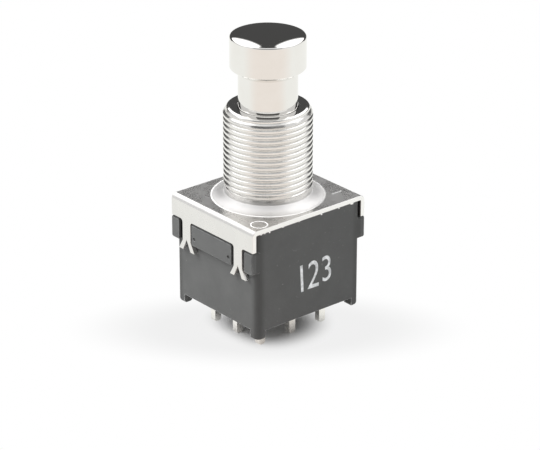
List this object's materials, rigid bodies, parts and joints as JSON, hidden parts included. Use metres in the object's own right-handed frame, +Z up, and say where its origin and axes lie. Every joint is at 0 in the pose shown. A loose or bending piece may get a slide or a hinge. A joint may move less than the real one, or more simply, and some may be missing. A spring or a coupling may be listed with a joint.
{
  "type": "stomp switch",
  "caption": "Three-pole latching foot switch with a round metal push cap, threaded panel bushing, folded steel frame plate and moulded housing with solder pins.",
  "frame": {"origin": "on the bushing's axis, at the top of the frame plate's raised collar, where the panel seats and the bushing's thread begins", "axes": "+Z up along the bushing towards the push cap, X across the two sides where the plate is folded down and crimped, -Y towards the side of the housing that carries the printed number"},
  "size_m": [0.02, 0.0172, 0.042],
  "materials": {
    "nickel_plate": "bright nickel plating over turned brass",
    "frame_steel": "satin plated sheet steel",
    "housing_plastic": "dark grey moulded thermoset, matte",
    "inner_plastic": "natural acetal, slightly glossy",
    "spring_steel": "drawn spring wire",
    "silvered_brass": "silver plated stampings"
  },
  "bodies": {
    "switch_body": {"housing": "housing_plastic", "frame_plate": "frame_steel", "bushing": "nickel_plate", "return_spring": "spring_steel", "cam_retainer": "inner_plastic", "common_terminal_1": "silvered_brass", "common_terminal_2": "silvered_brass", "common_terminal_3": "silvered_brass", "throw_terminal_1a": "silvered_brass", "throw_terminal_1b": "silvered_brass", "throw_terminal_2a": "silvered_brass", "throw_terminal_2b": "silvered_brass", "throw_terminal_3a": "silvered_brass", "throw_terminal_3b": "silvered_brass", "contact_rivet_1a": "silvered_brass", "contact_rivet_1b": "silvered_brass", "contact_rivet_2a": "silvered_brass", "contact_rivet_2b": "silvered_brass", "contact_rivet_3a": "silvered_brass", "contact_rivet_3b": "silvered_brass"},
    "plunger": {"plunger": "nickel_plate", "retaining_ring": "spring_steel", "pawl_pin": "spring_steel", "centring_spring": "spring_steel"},
    "pawl": {"pawl": "inner_plastic"},
    "cam": {"toggle_cam": "inner_plastic", "contact_spring_1": "spring_steel", "contact_spring_2": "spring_steel", "contact_spring_3": "spring_steel"},
    "rocker_1": {"contact_rocker_1": "silvered_brass"},
    "contact_pin_1": {"contact_pin_1": "silvered_brass"},
    "rocker_2": {"contact_rocker_2": "silvered_brass"},
    "contact_pin_2": {"contact_pin_2": "silvered_brass"},
    "rocker_3": {"contact_rocker_3": "silvered_brass"},
    "contact_pin_3": {"contact_pin_3": "silvered_brass"}
  },
  "joints": [
    {"name": "plunger_slide", "type": "slide", "parent": "switch_body", "child": "plunger", "axis": [0, 0, -1], "range_m": [0, 0.0038], "stiffness_N_per_m": 1200, "springref_m": -0.004, "deforming": ["return_spring"]},
    {"name": "pawl_swing", "type": "hinge", "parent": "plunger", "child": "pawl", "pos_m": [0, 0, 0.00305], "axis": [1, 0, 0], "range_deg": [0, 21.06]},
    {"name": "cam_tilt", "type": "hinge", "parent": "switch_body", "child": "cam", "pos_m": [0, 0, -0.0072], "axis": [1, 0, 0], "range_deg": [-28.01, 0]},
    {"name": "rocker_tilt_1", "type": "hinge", "parent": "switch_body", "child": "rocker_1", "pos_m": [-0.00536, 0, -0.01241], "axis": [1, 0, 0], "range_deg": [0, 16.01]},
    {"name": "rocker_tilt_2", "type": "hinge", "parent": "switch_body", "child": "rocker_2", "pos_m": [0, 0, -0.01241], "axis": [1, 0, 0], "range_deg": [0, 16.01]},
    {"name": "rocker_tilt_3", "type": "hinge", "parent": "switch_body", "child": "rocker_3", "pos_m": [0.00536, 0, -0.01241], "axis": [1, 0, 0], "range_deg": [0, 16.01]},
    {"name": "contact_pin_slide_1", "type": "slide", "parent": "cam", "child": "contact_pin_1", "axis": [0, -0.2419, 0.9703], "range_m": [0, 0.0004], "stiffness_N_per_m": 400, "springref_m": -0.001, "deforming": ["contact_spring_1"]},
    {"name": "contact_pin_slide_2", "type": "slide", "parent": "cam", "child": "contact_pin_2", "axis": [0, -0.2419, 0.9703], "range_m": [0, 0.0004], "stiffness_N_per_m": 400, "springref_m": -0.001, "deforming": ["contact_spring_2"]},
    {"name": "contact_pin_slide_3", "type": "slide", "parent": "cam", "child": "contact_pin_3", "axis": [0, -0.2419, 0.9703], "range_m": [0, 0.0004], "stiffness_N_per_m": 400, "springref_m": -0.001, "deforming": ["contact_spring_3"]}
  ],
  "couplings": [
    {"joint": "pawl_swing", "follows": "plunger_slide", "rad_per_m": 96.699},
    {"joint": "cam_tilt", "follows": "plunger_slide", "rad_per_m": -128.6},
    {"joint": "rocker_tilt_1", "follows": "plunger_slide", "rad_per_m": 73.488},
    {"joint": "rocker_tilt_2", "follows": "plunger_slide", "rad_per_m": 73.488},
    {"joint": "rocker_tilt_3", "follows": "plunger_slide", "rad_per_m": 73.488}
  ]
}
